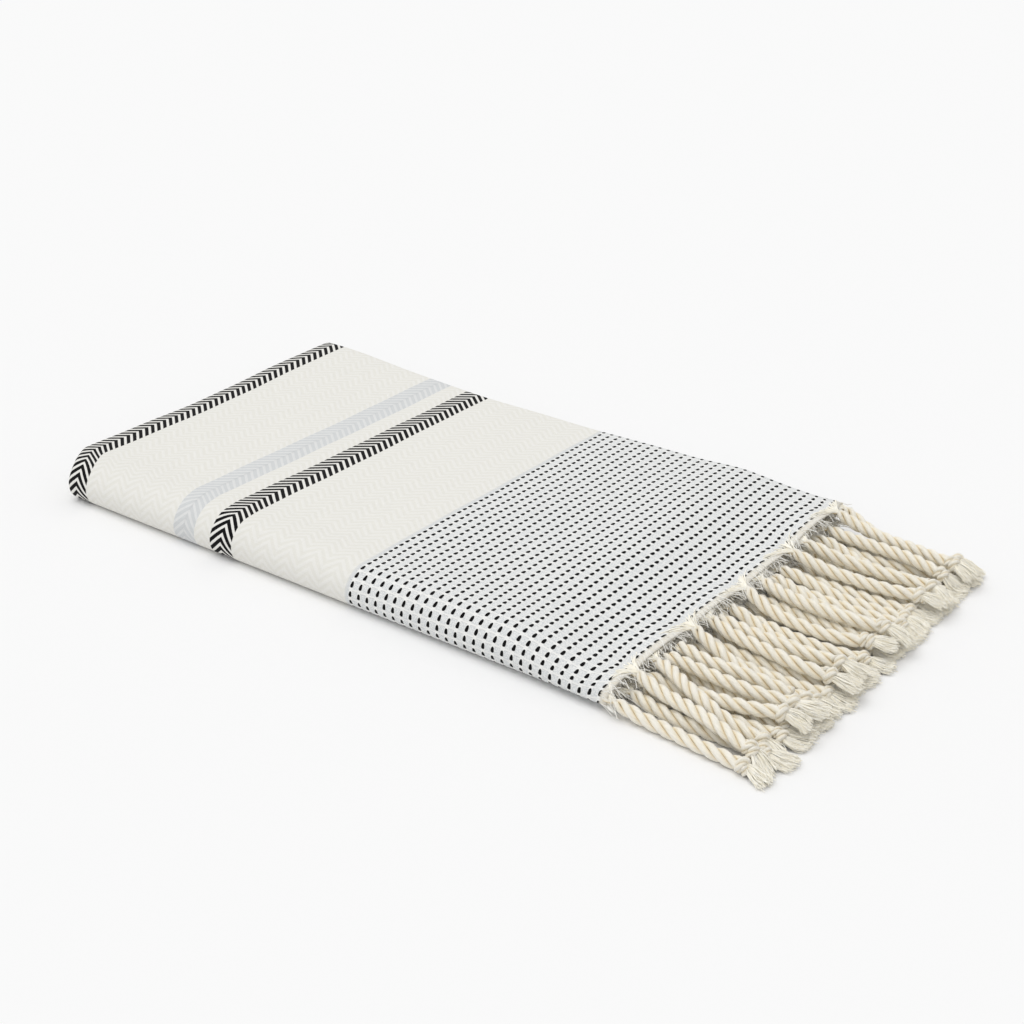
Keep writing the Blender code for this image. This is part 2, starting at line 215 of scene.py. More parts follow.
# values of the strip at running length w: y, z, out y, out z, left slip, right slip
def stripAt(w):
    return [np.interp(w, stackTable[:, 0], stackTable[:, i]) for i in range(1, 7)]


# running length at which the strip is at y on a stack
def stripLength(stack, y):
    rows = np.abs(stackTable[:, 2] - stackMiddle(stack)) < 1e-6
    order = np.argsort(stackTable[rows, 1])
    return float(np.interp(y, stackTable[rows, 1][order], stackTable[rows, 0][order]))


# the neat bundle's points, moved to where the cloth has settled: lower over the empty gaps, higher at
# the back left corner and over the middle fold, leaning at the front, and softly waved all over
def settled(x, y, z):
    emptied = smoothStep(x, settle["dropFromX"], settle["dropToX"])
    lowGap = ramp(z, 0.5 * stackHeight, 1.5 * stackHeight)
    highGap = ramp(z, 2.5 * stackHeight, 3.5 * stackHeight)
    propped = 1.0 - settle["backProp"] * smoothStep(y, 0.02, 0.11)
    newZ = z - settle["fringeEndDrop"] * emptied * propped * (lowGap + highGap)
    corner = smoothStep(-x, 0.02, 0.21) * smoothStep(y, -0.03, 0.12)
    ridge = np.exp(-(((x - 0.142) / 0.022) ** 2)) * smoothStep(y, -0.07, 0.07)
    newZ = newZ * (1.0 + settle["cornerLift"] * corner + settle["ridgeLift"] * ridge)
    height = newZ / bundleHeight
    front = smoothStep(-y, 0.080, 0.112)
    turned = smoothStep(-y + 1.2 * np.maximum(0.5 * bundleHeight - z, 0.0), 0.098, 0.126)
    lean = settle["frontLean"] * height**2 - settle["frontFoot"] * np.clip(1.0 - height, 0.0, 1.0) ** 3
    spread = settle["cornerSpread"] * smoothStep(-x, 0.05, 0.20) * smoothStep(y, 0.05, 0.12)
    newX = x + settle["frontTuck"] * turned * smoothStep(-x, -0.02, 0.22)
    waves = (
        np.sin(41.0 * x + 23.0 * y + 0.6) + 0.7 * np.sin(77.0 * x - 52.0 * y + 2.1)
        + 0.5 * np.sin(19.0 * x + 118.0 * y + 4.0)
    )
    newZ = newZ + settle["unevenness"] * waves * np.clip(height, 0.0, 1.0)
    return newX, y + lean * front + spread, newZ


# x moved by the slips of the two ends, each by its share of the way along the bundle
def slipped(x, leftSlip, rightSlip):
    share = (x - fold["leftX"]) / (fold["edgeX"] - fold["leftX"])
    return x + (1.0 - share) * leftSlip + share * rightSlip


cords = {
    "length": 0.1000,
    "radius": 0.0040,
    "points": 20,
    "rootRadius": 0.00045,
    "rootTaper": 0.0100,
    "lowerFirstY": -0.1110,     # cords on the two lower stacks, drawn into bunches
    "lowerSpacing": 0.0113,
    "lowerCount": 20,
    "bunchSpacing": 0.050,
    "bunchGapY": -0.112,
    "bunchPull": 0.0060,
    # cords on the two upper stacks: ply, stack, then y at the root, a third, two thirds and the tip
    "upper": [
        ("inner", 0, -0.1215, -0.1240, -0.1290, -0.1300),
        ("outer", 1, -0.1070, -0.1120, -0.1190, -0.1190),
        ("inner", 1, -0.0880, -0.1010, -0.1110, -0.1080),
        ("outer", 2, -0.0970, -0.093, -0.099, -0.082),
        ("inner", 2, -0.0780, -0.081, -0.087, -0.074),
        ("inner", 2, -0.0660, -0.074, -0.070, -0.066),
        ("outer", 1, -0.0520, -0.058, -0.068, -0.055),
        ("inner", 1, -0.0360, -0.044, -0.051, -0.042),
        ("outer", 2, -0.0260, -0.033, -0.039, -0.028),
        ("inner", 2, -0.0130, -0.023, -0.028, -0.013),
        ("outer", 1, 0.0010, -0.011, -0.012, 0.006),
        ("inner", 1, 0.0180, 0.007, 0.006, 0.020),
        ("outer", 2, 0.0280, 0.026, 0.019, 0.028),
        ("inner", 2, 0.0400, 0.037, 0.035, 0.042),
        ("outer", 1, 0.0520, 0.053, 0.051, 0.060),
        ("inner", 1, 0.0670, 0.067, 0.072, 0.071),
        ("outer", 2, 0.0853, 0.080, 0.081, 0.081),
        ("inner", 2, 0.0970, 0.092, 0.091, 0.090),
        ("outer", 1, 0.1050, 0.107, 0.101, 0.098),
        ("inner", 1, 0.1150, 0.113, 0.110, 0.106),
    ],
}


# rows like the upper cords' for the two stacks below, pulled sideways by a sine into bunches
def lowerCords():
    rows = []
    for i in range(cords["lowerCount"]):
        y = cords["lowerFirstY"] + i * cords["lowerSpacing"]
        turn = 2.0 * math.pi * (y - cords["bunchGapY"]) / cords["bunchSpacing"]
        pull = cords["bunchPull"] * math.sin(turn)
        ply = "outer" if i % 2 == 0 else "inner"
        rows.append((ply, 3 + (i // 2) % 2, y, y + 0.6 * pull - 0.004, y + pull - 0.006, y + pull))
    return rows


cordRows = cords["upper"] + lowerCords()
frontLength = 0.5 * (stripLength(4, -0.10) + stripLength(1, -0.10))


# running lengths of one end's cord roots along the strip, with one more past each selvedge
def rootLengths(ply):
    found = []
    for row in cordRows:
        if row[0] == ply:
            found.append(frontLength if row[1] == 0 else stripLength(row[1], row[2]))
    found = np.sort(np.array(found))
    return np.concatenate([[found[0] - 0.05], found, [found[-1] + 0.05]])


# share of the way between the roots on both sides of w, and how far apart they are
def betweenRoots(w, roots):
    index = np.clip(np.searchsorted(roots, w) - 1, 0, len(roots) - 2)
    gap = roots[index + 1] - roots[index]
    return np.clip((w - roots[index]) / gap, 0.0, 1.0), gap


# the cloth's points for a ribbon outline and the running lengths w: the strip's place at w, pulled
# towards the roots near the cut ends, then drawn out at each root and let back between two
def clothPoints(outline, alongCloth, clothLength, w):
    fromEnd = np.minimum(alongCloth, clothLength - alongCloth)
    near = smoothStep(gather["reach"] - fromEnd, 0.0, gather["reach"])[None, :]
    edge = smoothStep(gather["pullReach"] - fromEnd, 0.0, gather["pullReach"])[None, :]
    shift = np.zeros((len(w), len(fromEnd)))
    draw = np.zeros_like(shift)
    arch = np.zeros_like(shift)
    firstHalf = alongCloth < 0.5 * clothLength
    for ply, side in (("outer", firstHalf), ("inner", ~firstHalf)):
        share, gap = betweenRoots(w, rootLengths(ply))
        size = np.clip(gap / 0.045, 0.25, 1.0)
        shift[:, side] = (-gather["pull"] * size * np.sin(2.0 * math.pi * share))[:, None]
        crest = 1.0 - np.sin(math.pi * share) ** 0.8
        drawn = (gather["peak"] + gather["valley"]) * crest * size - gather["valley"] * size
        draw[:, side] = drawn[:, None]
        arch[:, side] = ((1.0 - crest) * size)[:, None]
    y, z, outY, outZ, leftSlip, rightSlip = stripAt(w[:, None] + shift * edge)
    top = smoothStep(z, stackMiddle(1) - 0.5 * stackHeight, stackMiddle(1)) * (outZ > 0.0)
    x = slipped(outline[None, :, 0], leftSlip, rightSlip) + draw * near**2
    n = outline[None, :, 1] + gather["lift"] * arch * edge * top * (outline[None, :, 1] > 0.0)
    return np.stack(settled(x, y + n * outY, z + n * outZ), axis=-1)


# a mesh object from points and faces, with a UV pair for each face corner
def meshObject(name, points, faces, cornerUv, material, smooth=True):
    data = bpy.data.meshes.new(name)
    data.from_pydata(points.tolist(), [], faces)
    layer = data.uv_layers.new(name="cloth")
    layer.data.foreach_set("uv", cornerUv.astype(np.float32).ravel())
    data.polygons.foreach_set("use_smooth", np.full(len(data.polygons), smooth))
    data.materials.append(material)
    data.validate()
    data.update()
    piece = bpy.data.objects.new(name, data)
    bpy.context.scene.collection.objects.link(piece)
    return piece


# faces of a grid of rings: each cell a quad, rings closed on themselves
def ringQuads(rings, around, first=0):
    row = np.arange(rings - 1)[:, None] * around
    column = np.arange(around)[None, :]
    following = (column + 1) % around
    corners = [row + column, row + following, row + around + following, row + around + column]
    return first + np.stack(corners, axis=-1).reshape(-1, 4)


# a maths node with its inputs linked or set, and its result
def calc(tree, operation, first, second=None, third=None):
    step = tree.nodes.new("ShaderNodeMath")
    step.operation = operation
    for socket, value in zip(step.inputs, (first, second, third)):
        if value is None:
            continue
        if isinstance(value, (int, float)):
            socket.default_value = value
        else:
            tree.links.new(value, socket)
    return step.outputs[0]


# 0 below low, 1 above high, even between
def edgeOf(tree, value, low, high):
    step = tree.nodes.new("ShaderNodeMapRange")
    step.clamp = True
    tree.links.new(value, step.inputs["Value"])
    step.inputs["From Min"].default_value = low
    step.inputs["From Max"].default_value = high
    return step.outputs["Result"]


# a colour between two by a share; colours are sockets or linear RGB triples
def blendColour(tree, share, first, second):
    step = tree.nodes.new("ShaderNodeMix")
    step.data_type = "RGBA"
    tree.links.new(share, step.inputs["Factor"])
    for socket, value in ((step.inputs[6], first), (step.inputs[7], second)):
        if isinstance(value, tuple):
            socket.default_value = (*value, 1.0)
        else:
            tree.links.new(value, socket)
    return step.outputs[2]


# noise at a place given by three values, which sets how long its grains are each way
def grain(tree, x, y, z, scale, detail=2.0):
    place = tree.nodes.new("ShaderNodeCombineXYZ")
    for socket, value in zip(place.inputs, (x, y, z)):
        if isinstance(value, (int, float)):
            socket.default_value = value
        else:
            tree.links.new(value, socket)
    noise = tree.nodes.new("ShaderNodeTexNoise")
    noise.inputs["Scale"].default_value = scale
    noise.inputs["Detail"].default_value = detail
    tree.links.new(place.outputs[0], noise.inputs["Vector"])
    return noise.outputs[0]


# finishes a fibre material: its shader's own settings, its colour and its height as a bump
def startMaterial(name, roughness, sheen, bumpDistance, height, colour):
    material = bpy.data.materials[name]
    tree = material.node_tree
    shader = tree.nodes["Principled BSDF"]
    shader.inputs["Roughness"].default_value = roughness
    shader.inputs["Metallic"].default_value = 0.0
    shader.inputs["Specular IOR Level"].default_value = 0.10
    shader.inputs["Sheen Weight"].default_value = sheen
    shader.inputs["Sheen Roughness"].default_value = 0.5
    bump = tree.nodes.new("ShaderNodeBump")
    bump.inputs["Strength"].default_value = 1.0
    bump.inputs["Distance"].default_value = bumpDistance
    tree.links.new(height, bump.inputs["Height"])
    tree.links.new(bump.outputs["Normal"], shader.inputs["Normal"])
    tree.links.new(colour, shader.inputs["Base Color"])
    return material


# a new material and the two values of the piece's own UV map
def emptyMaterial(name):
    material = bpy.data.materials.new(name)
    material.use_nodes = True
    uv = material.node_tree.nodes.new("ShaderNodeUVMap")
    uv.uv_map = "cloth"
    split = material.node_tree.nodes.new("ShaderNodeSeparateXYZ")
    material.node_tree.links.new(uv.outputs["UV"], split.inputs[0])
    return material.node_tree, split.outputs[0], split.outputs[1]


weave = {
    # millimetres along the cloth from its cut end
    "blackBand": 270.7,
    "greyBand": 303.6,
    "foldBand": 405.9,
    "bandWidth": 18.8,
    "columnPeriod": 17.5,       # two half-columns of the herringbone
    "columnSpine": 199.6,       # one of its spines, and one past the grey band
    "farColumnSpine": 353.4,
    "strokePitch": 5.06,
    "strokeSlope": 0.84,
    "dashFirst": 10.5,
    "dashPitch": 6.048,
    "dashEnd": 170.4,
    "dashColumn": 5.09,         # across the cloth
    "dashColumnAt": -35.8,
    "dashHalfLength": 1.62,
    "dashHalfWidth": 1.00,
    "dashTaper": -0.13,         # how fast a dash narrows across the cloth
    "paleStripWidth": 3.0,
    "fieldRelief": -0.07,       # heights of the parts of the weave
    "dashRelief": 0.22,
    "threadRelief": 0.05,
    "slubRelief": 0.25,
    "headerRelief": 0.5,
    "threadPitch": 0.9,
    "header": 4.0,
    "white": (0.835, 0.825, 0.785),
    "ribWhite": (0.885, 0.885, 0.865),
    "ivory": (0.800, 0.788, 0.735),
    "black": (0.0030, 0.0030, 0.0034),
    "grey": (0.650, 0.665, 0.668),
    "lightGrey": (0.745, 0.752, 0.748),
    "paleGrey": (0.640, 0.665, 0.680),
    "cream": (0.820, 0.770, 0.660),
}


# the cloth: u runs along it from a cut end and v across it. Herringbone strokes are the fractions of
# (v + distance to the column's spine) / pitch; bands recolour them; dashes sit on a grid near the ends
def clothMaterial(clothLength):
    tree, rawU, rawV = emptyMaterial("wovenCotton")
    u = calc(tree, "MULTIPLY", rawU, 1000.0)
    v = calc(tree, "MULTIPLY", rawV, 1000.0)
    half = 500.0 * clothLength
    fromEnd = calc(tree, "SUBTRACT", half, calc(tree, "ABSOLUTE", calc(tree, "SUBTRACT", u, half)))

    # signed distance to the nearest of evenly spaced lines
    def nearest(value, origin, period):
        share = calc(tree, "DIVIDE", calc(tree, "SUBTRACT", value, origin), period)
        whole = calc(tree, "ROUND", share)
        return calc(tree, "MULTIPLY", calc(tree, "SUBTRACT", share, whole), period)

    # a sine wave over the strokes, above 0 on a stroke and below 0 beside it
    def strokes(spine):
        leaning = calc(tree, "MULTIPLY_ADD", spine, weave["strokeSlope"], v)
        phase = calc(tree, "DIVIDE", leaning, weave["strokePitch"])
        return calc(tree, "SINE", calc(tree, "MULTIPLY", phase, 2.0 * math.pi))

    wobble = calc(tree, "SUBTRACT", grain(tree, u, v, 0.0, 0.9), 0.5)
    far = edgeOf(tree, fromEnd, weave["greyBand"] - 0.1, weave["greyBand"] + 0.1)
    spineShift = weave["farColumnSpine"] - weave["columnSpine"]
    origin = calc(tree, "MULTIPLY_ADD", far, spineShift, weave["columnSpine"])
    fieldSpine = calc(tree, "ABSOLUTE", nearest(fromEnd, origin, weave["columnPeriod"]))
    fieldWave = strokes(fieldSpine)
    fieldStroke = edgeOf(tree, fieldWave, -0.5, 0.5)
    colour = blendColour(tree, fieldStroke, weave["white"], weave["ivory"])
    relief = calc(tree, "MULTIPLY", fieldWave, weave["fieldRelief"])

    for centre, ink, ground in (
        ("blackBand", "black", "white"), ("greyBand", "grey", "lightGrey"),
        ("foldBand", "black", "white"),
    ):
        spine = calc(tree, "ABSOLUTE", calc(tree, "SUBTRACT", fromEnd, weave[centre]))
        inside = edgeOf(tree, spine, 0.5 * weave["bandWidth"] + 0.2, 0.5 * weave["bandWidth"] - 0.2)
        ragged = calc(tree, "ADD", strokes(spine), calc(tree, "MULTIPLY", wobble, 0.5))
        stroke = edgeOf(tree, ragged, -0.42, -0.10)
        banded = blendColour(tree, stroke, weave[ground], weave[ink])
        colour = blendColour(tree, inside, colour, banded)

    row = nearest(fromEnd, weave["dashFirst"], weave["dashPitch"])
    column = nearest(v, weave["dashColumnAt"], weave["dashColumn"])
    acrossRow = calc(tree, "ABSOLUTE", row)
    acrossColumn = calc(tree, "ABSOLUTE", column)
    # a dash is where (length share)^3 + (width share)^2.6 is below 1, with a ragged rim
    long = calc(tree, "POWER", calc(tree, "DIVIDE", acrossColumn, weave["dashHalfLength"]), 3.0)
    taper = calc(tree, "MULTIPLY_ADD", column, weave["dashTaper"], weave["dashHalfWidth"])
    wide = calc(tree, "POWER", calc(tree, "DIVIDE", acrossRow, taper), 2.6)
    ragged = calc(tree, "ADD", calc(tree, "ADD", long, wide), calc(tree, "MULTIPLY", wobble, 0.9))
    dash = edgeOf(tree, ragged, 1.15, 0.85)
    inRow = edgeOf(tree, acrossRow, 1.35, 1.0)
    rib = edgeOf(tree, acrossColumn, 1.95, 2.25)
    squareGrain = grain(tree, u, v, 3.0, 1.6)
    pale = blendColour(tree, edgeOf(tree, squareGrain, 0.35, 0.65), weave["paleGrey"], weave["ribWhite"])
    zone = blendColour(tree, calc(tree, "MAXIMUM", rib, inRow), pale, weave["ribWhite"])
    zone = blendColour(tree, dash, zone, weave["black"])
    inZone = edgeOf(tree, fromEnd, weave["dashEnd"] + 0.2, weave["dashEnd"] - 0.2)
    colour = blendColour(tree, inZone, colour, zone)
    stripPlace = calc(tree, "ABSOLUTE", calc(tree, "SUBTRACT", fromEnd, weave["dashEnd"]))
    halfStrip = 0.5 * weave["paleStripWidth"]
    strip = edgeOf(tree, stripPlace, halfStrip, halfStrip - 0.4)
    colour = blendColour(tree, calc(tree, "MULTIPLY", strip, 0.5), colour, weave["paleGrey"])
    raised = calc(tree, "MAXIMUM", rib, calc(tree, "MAXIMUM", inRow, dash))
    zoneRelief = calc(tree, "MULTIPLY", raised, weave["dashRelief"])
    relief = calc(tree, "ADD", calc(tree, "MULTIPLY", relief, calc(tree, "SUBTRACT", 1.0, inZone)),
                  calc(tree, "MULTIPLY", zoneRelief, inZone))

    streak = grain(tree, calc(tree, "MULTIPLY", u, 0.12), v, 7.0, 2.2)
    uneven = calc(tree, "MULTIPLY_ADD", streak, 3.0, fromEnd)
    header = edgeOf(tree, uneven, weave["header"] + 2.0, weave["header"] + 1.0)
    creamy = blendColour(tree, edgeOf(tree, streak, 0.35, 0.7), weave["cream"], weave["white"])
    colour = blendColour(tree, header, colour, creamy)

    along = grain(tree, calc(tree, "MULTIPLY", u, 0.10), calc(tree, "MULTIPLY", v, 1.6), 1.0, 1.0)
    across = grain(tree, calc(tree, "MULTIPLY", u, 1.6), calc(tree, "MULTIPLY", v, 0.10), 2.0, 1.0)
    slub = calc(tree, "MULTIPLY", calc(tree, "ADD", along, across), 0.5)
    shade = tree.nodes.new("ShaderNodeHueSaturation")
    tree.links.new(colour, shade.inputs["Color"])
    tree.links.new(calc(tree, "MULTIPLY_ADD", slub, 0.16, 0.92), shade.inputs["Value"])
    perThread = 2.0 * math.pi / weave["threadPitch"]
    threads = calc(tree, "MULTIPLY",
                   calc(tree, "SINE", calc(tree, "MULTIPLY", u, perThread)),
                   calc(tree, "SINE", calc(tree, "MULTIPLY", v, perThread)))
    relief = calc(tree, "ADD", relief, calc(tree, "MULTIPLY", threads, weave["threadRelief"]))
    relief = calc(tree, "ADD", relief, calc(tree, "MULTIPLY", slub, weave["slubRelief"]))
    headerStreak = calc(tree, "MULTIPLY", streak, header)
    relief = calc(tree, "ADD", relief, calc(tree, "MULTIPLY", headerStreak, weave["headerRelief"]))
    return startMaterial("wovenCotton", 0.92, 0.05, 0.001, relief, shade.outputs[0])


path = plyPath()
alongPath = runningLength(path)
clothLength = float(alongPath[-1])
fromCut = np.minimum(alongPath, clothLength - alongPath)[:, None]
thinned = fold["edgeThin"] + (1.0 - fold["edgeThin"]) * smoothStep(fromCut, 0.0, fold["edgeReach"])
thickness = fold["thickness"] * thinned
faceA, faceB = ribbonFaces(path, thickness)
outline = np.concatenate([faceA, faceB[::-1]])
alongOutline = np.concatenate([alongPath, alongPath[::-1]])
stations = stackTable[:, 0]
clothGrid = clothPoints(outline, alongOutline, clothLength, stations)

# distance across the cloth on each ply, so that the weave keeps its width round the folds
plain = stripAt(stations[:, None] + np.zeros(len(outline))[None, :])
flatY = plain[0] + outline[None, :, 1] * plain[2]
flatZ = plain[1] + outline[None, :, 1] * plain[3]
stepY = np.diff(flatY, axis=0, prepend=flatY[:1])
stepZ = np.diff(flatZ, axis=0, prepend=flatZ[:1])
across = np.cumsum(np.hypot(stepY, stepZ), axis=0)
topRow = int(np.argmin(np.abs(stations - stripLength(1, 0.0))))
across = across - across[topRow] + plain[0][topRow]

around = len(outline)
clothFaces = ringQuads(len(stations), around)
caps = np.array([[i, i + 1, around - 2 - i, around - 1 - i] for i in range(around // 2 - 1)])
clothFaces = np.concatenate([clothFaces, caps[:, ::-1], caps + (len(stations) - 1) * around])
pointUv = np.stack([np.tile(alongOutline, (len(stations), 1)), across], axis=-1).reshape(-1, 2)
towel = meshObject("towelCloth", clothGrid.reshape(-1, 3), clothFaces.tolist(),
                   pointUv[clothFaces.ravel()], clothMaterial(clothLength))
print("cloth woven,", len(clothFaces), "faces,", round(clothLength, 3), "m long")

twist = {
    "turn": 0.0245,             # length of one turn of a strand
    "strandRadius": 0.00178,
    "strandOffset": 0.00192,    # from the cord's middle to a strand's
    "fan": 0.0020,              # how far apart the strands leave the cloth
    "stations": 124,
    "sides": 9,
    "rootStrandRadius": 0.0008,
}
knot = {
    "at": 0.0785,               # from the root
    "length": 0.0050,
    "radius": 0.0024,           # of the strands' path round the cord
    "turns": 1.45,
    "strandTurns": 2.2,
    "strandRadius": 0.00135,
    "strandOffset": 0.0012,
    "steps": 30,
    "sides": 8,
}
letting = {
    "rounds": 320,
    "calmFrom": 225,            # round after which the steps are small
    "homing": 0.05,             # share of the way back to the planned place
    "sinking": 0.00018,
    "stiffness": 0.30,
    "spare": 0.0002,            # room kept between two cords
    "nearby": 0.0060,
}


# a cord's start, in the middle of its ply's header
def rootPoint(ply, stack, y):
    height = outerPly if ply == "outer" else innerPly
    headerX = fold["edgeX"] + 0.5 * fold["headerWidth"] + 0.0002
    if stack == 0:
        headerX += 0.5 * (fold["slips"][1][1] + fold["slips"][4][1])
        frontRadius = 0.5 * (stackMiddle(1) - stackMiddle(4))
        middle = fold["frontY"] + frontRadius + outerPly + 0.5 * fold["thickness"]
        middleZ = 0.5 * (stackMiddle(1) + stackMiddle(4))
        return np.array(settled(headerX, middle - frontRadius - height, middleZ))
    side = -1.0 if stack % 2 == 0 else 1.0
    return np.array(settled(headerX + fold["slips"][stack][1], y, stackMiddle(stack) + side * height))


# a cord's radius for laying it down: slim in its header and full after the taper
def cordRadii():
    reach = np.linspace(0.0, cords["length"], cords["points"])
    full = smoothStep(reach, 0.0025, cords["rootTaper"])
    return cords["rootRadius"] + (cords["radius"] - cords["rootRadius"]) * full


# each cord's points on plan before it is let down
def cordGuides(rows):
    count = cords["points"]
    share = np.linspace(0.0, 1.0, count)
    points = np.zeros((len(rows), count, 3))
    for place, (ply, stack, rootY, nearY, farY, tipY) in zip(points, rows):
        start = rootPoint(ply, stack, rootY)
        eased = np.interp(share, [0.0, 0.33, 0.66, 1.0], [start[1], nearY, farY, tipY])
        eased[1:-1] = 0.25 * eased[:-2] + 0.5 * eased[1:-1] + 0.25 * eased[2:]
        place[:, 0] = start[0] + share * cords["length"]
        place[:, 1] = eased
        place[:, 2] = start[2] + 0.010 * np.minimum(share * 8.0, 1.0) * (stack < 3)
        place[:2, 1:] = start[1:]
    points[:, 1, 2] = np.maximum(points[:, 1, 2], cordRadii()[1])
    return points


# pairs of points of different cords that are near enough to touch soon
def closePairs(place, radii):
    count, points, _ = place.shape
    flat = place.reshape(-1, 3)
    first, second = np.triu_indices(count * points, k=points)
    apart = np.abs(flat[first] - flat[second]).max(axis=1)
    near = (apart < radii[first] + radii[second] + letting["nearby"]) & (first // points != second // points)
    return first[near], second[near]


# moves each pair of touching points away from each other, half of the overlap each
def pushApart(place, radii, first, second):
    flat = place.reshape(-1, 3)
    apart = flat[first] - flat[second]
    gap = np.linalg.norm(apart, axis=1) + 1e-9
    press = np.maximum(radii[first] + radii[second] + letting["spare"] - gap, 0.0)
    push = 0.45 * apart * (press / gap)[:, None]
    for axis in range(3):
        flat[:, axis] += np.bincount(first, push[:, axis], len(flat))
        flat[:, axis] -= np.bincount(second, push[:, axis], len(flat))
    return flat.reshape(place.shape)


# lets the cords fall onto the surface and each other, keeping their length and their distance
def letDown(guides):
    count, points, _ = guides.shape
    place = guides.copy()
    radii = np.tile(cordRadii(), count)
    lowest = radii.reshape(count, points)[:, 2:]
    step = cords["length"] / (points - 1)
    for turn in range(letting["rounds"]):
        if turn % 20 == 0:
            first, second = closePairs(place, radii)
        calm = 1.0 if turn < letting["calmFrom"] else 0.25
        place[:, 2:, :2] += letting["homing"] * calm * (guides[:, 2:, :2] - place[:, 2:, :2])
        place[:, 2:, 2] -= letting["sinking"] * calm
        middle = 0.5 * (place[:, :-2] + place[:, 2:])
        place[:, 1:-1] += letting["stiffness"] * (middle - place[:, 1:-1])
        for _ in range(2):
            place = pushApart(place, radii, first, second)
            place[:, :2] = guides[:, :2]
            place[:, 2:, 2] = np.maximum(place[:, 2:, 2], lowest)
        for j in range(2, points):
            leg = place[:, j] - place[:, j - 1]
            place[:, j] = place[:, j - 1] + step * leg / np.linalg.norm(leg, axis=1, keepdims=True)
        place[:, 2:, 2] = np.maximum(place[:, 2:, 2], lowest)
    return place


# a smooth curve through the points (Catmull-Rom), at shares 0 to 1 of the way
def smoothAlong(points, shares):
    count = points.shape[1]
    before = 2 * points[:, :1] - points[:, 1:2]
    after = 2 * points[:, -1:] - points[:, -2:-1]
    padded = np.concatenate([before, points, after], axis=1)
    at = np.clip(shares * (count - 1), 0.0, count - 1 - 1e-9)
    i = np.floor(at).astype(int)
    t = (at - i)[..., None]
    rows = np.arange(len(points))[:, None]
    a, b, c, d = (padded[rows, i + k] for k in range(4))
    bend, turn = 2 * a - 5 * b + 4 * c - d, 3 * b - a - 3 * c + d
    return 0.5 * (2 * b + (c - a) * t + bend * t**2 + turn * t**3)


# unit vectors along a curve, to its left and up from it
def directions(points):
    along = np.gradient(points, axis=-2)
    along /= np.linalg.norm(along, axis=-1, keepdims=True)
    left = np.cross(np.array([0.0, 0.0, 1.0]), along)
    left /= np.linalg.norm(left, axis=-1, keepdims=True)
    return along, left, np.cross(along, left)


# closed tubes along many curves: point + radius (cos a * outward + sin a * sideways). The UV map
# holds the length along the tube and the share round it, 0 on the outward side
def tubes(curves, radii, outward, sides, startUv):
    count, steps, _ = curves.shape
    along = np.gradient(curves, axis=1)
    along /= np.linalg.norm(along, axis=-1, keepdims=True)
    outward = outward - along * np.sum(outward * along, axis=-1, keepdims=True)
    outward /= np.linalg.norm(outward, axis=-1, keepdims=True)
    sideways = np.cross(along, outward)
    angles = 2.0 * math.pi * (np.arange(sides) / sides - 0.5)
    rings = (
        curves[:, :, None, :]
        + (radii[:, :, None] * np.cos(angles))[..., None] * outward[:, :, None, :]
        + (radii[:, :, None] * np.sin(angles))[..., None] * sideways[:, :, None, :]
    )
    base = ringQuads(steps, sides)
    legs = np.linalg.norm(np.diff(curves, axis=1), axis=-1)
    length = np.concatenate([np.zeros((count, 1)), np.cumsum(legs, axis=1)], axis=1) + startUv[:, None]
    faces = (base[None] + (np.arange(count) * steps * sides)[:, None, None]).reshape(-1, 4)
    aroundShare = (base % sides) / sides - 0.5
    seam = (base % sides).max(axis=1, keepdims=True) - base % sides > sides // 2
    aroundShare = np.where(seam, 0.5, aroundShare)
    ring = base // sides
    shares = np.broadcast_to(aroundShare, (count, *aroundShare.shape))
    uv = np.stack([length[:, ring], shares], axis=-1).reshape(-1, 4, 2)
    start = np.arange(sides)[None, ::-1] + (np.arange(count) * steps * sides)[:, None]
    end = start[:, ::-1] + (steps - 1) * sides
    capUv = np.zeros((2 * count * sides, 2))
    return rings.reshape(-1, 3), faces, uv.reshape(-1, 2), [*start.tolist(), *end.tolist()], capUv


# joins sets of tubes into one object
def tubeObject(name, parts, material, smooth=True):
    points, faces, uvs, capFaces, capUvs, first = [], [], [], [], [], 0
    for part in parts:
        points.append(part[0])
        faces.extend((part[1] + first).tolist())
        uvs.append(part[2])
        capFaces.extend([[corner + first for corner in cap] for cap in part[3]])
        capUvs.append(part[4])
        first += len(part[0])
    corners = np.concatenate(uvs + capUvs)
    return meshObject(name, np.concatenate(points), faces + capFaces, corners, material, smooth)


# the first three cord tones are painted shade: one cream, darkened towards the grooves between strands; the
# tip and fray tones are the yarns' own
cordTone = {
    "light": (0.970, 0.930, 0.830),
    "middle": (0.955, 0.875, 0.700),
    "paintedGrooveShade": (0.800, 0.640, 0.370),
    "tipLight": (0.990, 0.975, 0.920),
    "tipDark": (0.975, 0.920, 0.770),
    "frayLight": (0.930, 0.915, 0.865),
    "frayGrey": (0.560, 0.600, 0.630),
}
